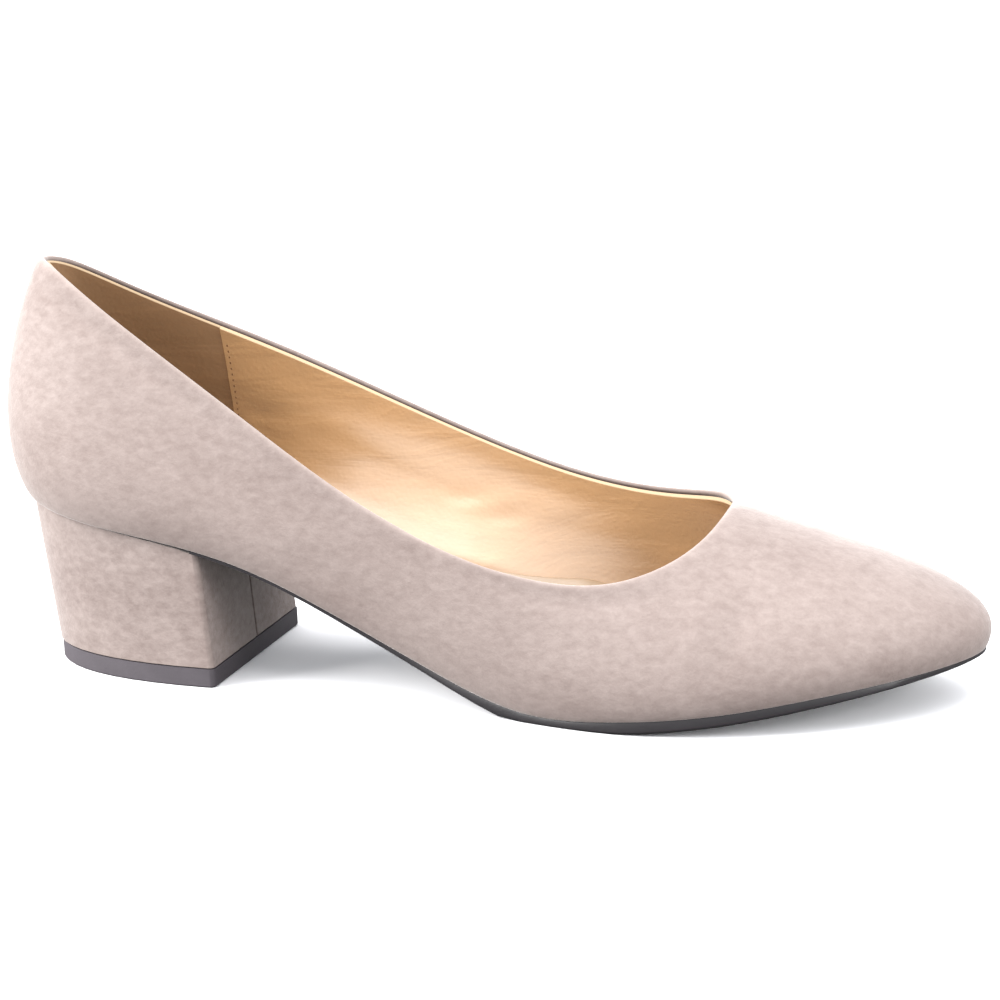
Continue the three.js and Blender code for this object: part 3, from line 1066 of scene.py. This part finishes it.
# The tread under the ball: its margin, which is held to a share of the width, its recess and its grooves
MARGIN_BAND = 6.0 * MM
MARGIN_LIMIT = 0.3
TREAD_FROM = 4.0 * MM
TREAD_SLOPE = 0.4 * MM
TREAD_RECESS = 0.45 * MM
GROOVES_FROM = 16.0 * MM
GROOVES_TO = 66.0 * MM
GROOVE_PITCH = 3.4 * MM
GROOVE_WIDTH = 1.3 * MM
GROOVE_SLOPE = 0.25 * MM
GROOVE_DEPTH = 0.5 * MM

# The heel cover: its shading, the rim round the seat, the breast with its worn corners, and the painted
# shade of its seam and of the line under the upper
HEEL_SHARP = 40
HEEL_WEIGHT = 50
HEEL_RIM_WIDTH = 1.2 * MM
HEEL_RIM_RISE = 0.30 * MM
BREAST_BAND = 8.0 * MM
CORNER_SIDEWAYS = 0.3
CORNER_TONE = 0.3
PAINTED_SHADE_TONE = -1.0

# The butt seam: how far off the middle it runs at its top and foot, and the band that it gathers
SEAM_TOP = 1.6 * MM
SEAM_FOOT = 0.5 * MM
SEAM_BAND = 2.0 * MM

# The rubber lift, which stands in from the cover's back
LIFT_SET_BACK = 0.7 * MM
LIFT_SET_BACK_REACH = 26.0 * MM


def on_seat(along):
    """1 over the heel's seat, fading to 0 at its breast"""
    return 1.0 - float(smooth_step(along, *SEAT_FADE))


def tuck_into_seat(shape):
    """Draws the outsole's edge in where the heel cover reaches up round it"""
    for along in (*SEAT_FADE, HEEL_BREAST):
        cut_across(shape, along)
    shape.normal_update()
    for vert in shape.verts:
        side = outward(vert)
        if side.length > SEAT_SIDEWAYS:
            vert.co -= side.normalized() * SEAT_TUCK * on_seat(vert.co.x)


def split_margins(shape, lid, margin):
    """Splits the strips that close a slab into a margin along each side and a middle between them"""
    inside = set(lid)
    strips = {edge for face in lid for edge in face.edges if inside.issuperset(edge.link_faces)}
    made = bmesh.ops.subdivide_edges(shape, edges=list(strips), cuts=2)
    added = {part for part in made["geom_inner"] if isinstance(part, bmesh.types.BMVert)}
    moves = []
    for vert in added:
        beside = [edge.other_vert(vert) for edge in vert.link_edges]
        end = next(other for other in beside if other not in added)
        third = vert.co - end.co
        share = min(margin / (3.0 * third.length), MARGIN_LIMIT)
        moves.append((vert, end.co + third * 3.0 * share))
    for vert, place in moves:
        vert.co = place
    return added


def cut_tread(shape):
    """Sinks the forepart's underside within its margin and cuts grip grooves across the ball"""
    shape.normal_update()
    under = [face for face in cap_faces(shape, False) if face.calc_center_median().x > TREAD_FROM]
    added = split_margins(shape, under, MARGIN_BAND)
    beside = {face for vert in added for face in vert.link_faces}
    middle = [face for face in beside if added.issuperset(face.verts)]
    bmesh.ops.inset_region(shape, faces=middle, thickness=TREAD_SLOPE, depth=-TREAD_RECESS)
    along = GROOVES_FROM
    while along < GROOVES_TO:
        for place in (along, along + GROOVE_WIDTH):
            made = cut_across(shape, place, middle)
            middle = [part for part in made["geom"] if isinstance(part, bmesh.types.BMFace)]
        along += GROOVE_PITCH
    grooves = []
    for face in middle:
        past = face.calc_center_median().x - GROOVES_FROM
        if 0.0 < past < GROOVES_TO - GROOVES_FROM and past % GROOVE_PITCH < GROOVE_WIDTH:
            grooves.append(face)
    bmesh.ops.inset_individual(shape, faces=grooves, thickness=GROOVE_SLOPE, depth=-GROOVE_DEPTH)


class PUMP_OT_outsole(bpy.types.Operator):
    """Builds the moulded outsole over the CAD outsole"""

    bl_idname = "pump.outsole"
    bl_label = "Outsole"

    def execute(self, context):
        rubber = rubber_material("outsole_rubber", context.scene.pump_colours.sole, roughness=0.42)
        shape = merged_quads("outsole")
        shape.normal_update()
        tuck_into_seat(shape)
        cut_tread(shape)
        add_piece("outsole_unit", shape, [rubber], ["outsole"], OUTSOLE_SHARP)
        return {"FINISHED"}


def raise_seat_rim(shape, tone):
    """Raises the top of the heel cover round the sole's seat, and leaves a slot with a painted shadow
    line under the upper
    """
    for along in SEAT_FADE:
        cut_across(shape, along)
    shape.normal_update()
    lid = cap_faces(shape, True)
    for vert in {vert for face in lid for vert in face.verts}:
        vert.co.z += HEEL_RIM_RISE * on_seat(vert.co.x)
    for vert in split_margins(shape, lid, HEEL_RIM_WIDTH):
        vert.co.z -= HEEL_RIM_RISE * on_seat(vert.co.x)
        vert[tone] = PAINTED_SHADE_TONE


def on_breast(shape):
    """The vertices on and just behind the heel's breast"""
    breast = max(vert.co.x for vert in shape.verts)
    return [vert for vert in shape.verts if vert.co.x > breast - BREAST_BAND]


def heel_seam(shape, tone, sizes):
    """Presses the butt seam down the breast of the heel cover, a little out of plumb, and paints shade
    into its groove
    """
    top = max(vert.co.z for vert in shape.verts)
    middle = [
        vert for vert in on_breast(shape) if abs(vert.co.y) < SEAM_BAND and len(vert.link_edges) > 2
    ]
    for vert in middle:
        vert.co.y = SEAM_FOOT + (SEAM_TOP - SEAM_FOOT) * vert.co.z / top
    across = Vector((0.0, top, SEAM_FOOT - SEAM_TOP)).normalized()
    foot = Vector((0.0, SEAM_FOOT, 0.0))
    for offset in (-0.5 * sizes.seam_width, 0.5 * sizes.seam_width):
        cut_plane(shape, foot + across * offset, across)
    for vert in middle:
        vert.co.x -= sizes.seam_depth
        vert[tone] = PAINTED_SHADE_TONE


def rub_corners(shape, tone):
    """Marks the two upright corners of the heel's breast as worn paler"""
    for vert in on_breast(shape):
        side = outward(vert)
        if side.x > CORNER_SIDEWAYS and abs(side.y) > CORNER_SIDEWAYS:
            vert[tone] = CORNER_TONE


def weight_normals(piece):
    """Lets the large faces of a piece set its shading, so that they look flat up to their edges"""
    weighted = piece.modifiers.new("weighted", "WEIGHTED_NORMAL")
    weighted.keep_sharp = True
    weighted.weight = HEEL_WEIGHT


class PUMP_OT_heel(bpy.types.Operator):
    """Builds the suede heel cover and the rubber top piece"""

    bl_idname = "pump.heel"
    bl_label = "Heel"

    def execute(self, context):
        sizes = context.scene.pump_sizes
        colours = context.scene.pump_colours
        cover = merged_quads("heel_block")
        tone = cover.verts.layers.float.new("edge_tone")
        cover.normal_update()
        rub_corners(cover, tone)
        heel_seam(cover, tone, sizes)
        raise_seat_rim(cover, tone)
        suede = suede_material("heel_suede", colours, contrast=1.15, tone=1.0)
        piece = add_piece("heel_cover", cover, [suede], ["heel_block"], HEEL_SHARP)
        weight_normals(piece)

        lift = merged_quads("heel_top_piece")
        back = min(vert.co.x for vert in lift.verts)
        for vert in lift.verts:
            share = 1.0 - float(smooth_step(vert.co.x, back, back + LIFT_SET_BACK_REACH))
            vert.co.x += LIFT_SET_BACK * share
        rubber = rubber_material("top_piece_rubber", colours.rubber, roughness=0.55)
        piece = add_piece("heel_lift", lift, [rubber], ["heel_top_piece"], HEEL_SHARP)
        weight_normals(piece)
        return {"FINISHED"}


# The stage

FLOOR_SIZE = 6.0
FLOOR_BOUNCE = 0.20
FLOOR_CLOUDS = 40.0
FLOOR_ROUGHNESS = 0.9
SKY_STRENGTH = 1.9
SKY_COLOUR = (0.97, 0.98, 1.0, 1.0)

# The studio's soft lights: place, size and power
LIGHT_TARGET = (0.0, 0.0, 0.03)
LIGHT_COLOUR = (1.0, 0.985, 0.97)
LIGHTS = (
    ("overhead", (-0.12, 0.00, 1.25), 1.6, 21.5),
    ("key", (-1.15, -0.60, 0.60), 0.8, 40.0),
    ("fill", (1.20, -0.30, 0.40), 0.6, 11.0),
)


def floor_material(colour):
    """A pale studio floor, which gives back less light to the shoe than the camera sees on it"""
    material, nodes, shader, place = new_material("floor")
    seen = nodes.add("ShaderNodeLightPath").outputs["Is Camera Ray"]
    shown = clouded(nodes, place, colour, FLOOR_CLOUDS)
    given_back = opaque(dimmed(colour, FLOOR_BOUNCE))
    nodes.feed(nodes.mix(seen, given_back, shown), shader.inputs["Base Color"])
    set_values(shader, {"Roughness": FLOOR_ROUGHNESS, **PLAIN_FINISH})
    return material


def aim(location, target):
    """A placing matrix that looks from one point at another"""
    turn = (Vector(target) - Vector(location)).to_track_quat("-Z", "Y")
    return Matrix.Translation(location) @ turn.to_matrix().to_4x4()


def add_camera(scene):
    """The camera at the photograph's angle"""
    azimuth = math.radians(CAMERA_AZIMUTH)
    elevation = math.radians(CAMERA_ELEVATION)
    roll = math.radians(CAMERA_ROLL)
    back = Vector(
        (
            math.sin(azimuth) * math.cos(elevation),
            -math.cos(azimuth) * math.cos(elevation),
            math.sin(elevation),
        )
    )
    level = Vector((math.cos(azimuth), math.sin(azimuth), 0.0))
    plumb = back.cross(level)
    right = level * math.cos(roll) + plumb * math.sin(roll)
    up = plumb * math.cos(roll) - level * math.sin(roll)
    data = bpy.data.cameras.new("camera")
    data.lens = CAMERA_LENS
    data.sensor_width = CAMERA_SENSOR
    data.shift_x, data.shift_y = CAMERA_SHIFT
    data.clip_end = CAMERA_REACH
    camera = bpy.data.objects.new("camera", data)
    turned = Matrix((right, up, back)).transposed().to_4x4()
    stand = Vector(CAMERA_TARGET) + back * CAMERA_DISTANCE
    camera.matrix_world = Matrix.Translation(stand) @ turned
    scene.collection.objects.link(camera)
    scene.camera = camera


def add_area_light(scene, name, location, target, size, power, colour):
    """A square soft light"""
    data = bpy.data.lights.new(name, "AREA")
    data.size = size
    data.energy = power
    data.color = colour
    light = bpy.data.objects.new(name, data)
    light.matrix_world = aim(location, target)
    scene.collection.objects.link(light)


class PUMP_OT_stage(bpy.types.Operator):
    """Builds the floor, the studio light and the camera"""

    bl_idname = "pump.stage"
    bl_label = "Stage"

    def execute(self, context):
        scene = context.scene
        floor_shape = bmesh.new()
        bmesh.ops.create_grid(floor_shape, x_segments=1, y_segments=1, size=FLOOR_SIZE / 2)
        mesh = bpy.data.meshes.new("floor")
        floor_shape.to_mesh(mesh)
        floor_shape.free()
        mesh.materials.append(floor_material(scene.pump_colours.floor))
        floor = bpy.data.objects.new("floor", mesh)
        scene.collection.objects.link(floor)

        world = bpy.data.worlds.new("studio")
        scene.world = world
        world.use_nodes = True
        sky = world.node_tree.nodes["Background"]
        set_values(sky, {"Color": SKY_COLOUR, "Strength": SKY_STRENGTH})

        for name, location, size, power in LIGHTS:
            add_area_light(scene, name, location, LIGHT_TARGET, size, power, LIGHT_COLOUR)

        scene.view_settings.view_transform = "Standard"
        scene.view_settings.look = "None"
        add_camera(scene)
        return {"FINISHED"}


class PUMP_PT_panel(bpy.types.Panel):
    """Lists the pump's settings and the steps that build it"""

    bl_idname = "PUMP_PT_panel"
    bl_label = "Block heel pump"
    bl_space_type = "VIEW_3D"
    bl_region_type = "UI"
    bl_category = "Pump"

    def draw(self, context):
        layout = self.layout
        for group in (context.scene.pump_sizes, context.scene.pump_colours):
            column = layout.column()
            for name in group.__annotations__:
                column.prop(group, name)
        for step in STEPS:
            layout.operator("pump." + step)


STEPS = ("suede_upper", "lining", "sock", "outsole", "heel", "stage")

CLASSES = (
    PumpSizes,
    PumpColours,
    PUMP_OT_suede_upper,
    PUMP_OT_lining,
    PUMP_OT_sock,
    PUMP_OT_outsole,
    PUMP_OT_heel,
    PUMP_OT_stage,
    PUMP_PT_panel,
)


def register():
    """Adds the settings, the operators and the panel"""
    for item in CLASSES:
        bpy.utils.register_class(item)
    bpy.types.Scene.pump_sizes = bpy.props.PointerProperty(type=PumpSizes)
    bpy.types.Scene.pump_colours = bpy.props.PointerProperty(type=PumpColours)


def unregister():
    """Takes them away again"""
    del bpy.types.Scene.pump_colours
    del bpy.types.Scene.pump_sizes
    for item in reversed(CLASSES):
        bpy.utils.unregister_class(item)


def main():
    """Builds every piece"""
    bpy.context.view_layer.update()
    register()
    for step in STEPS:
        getattr(bpy.ops.pump, step)()


if __name__ == "__main__":
    main()
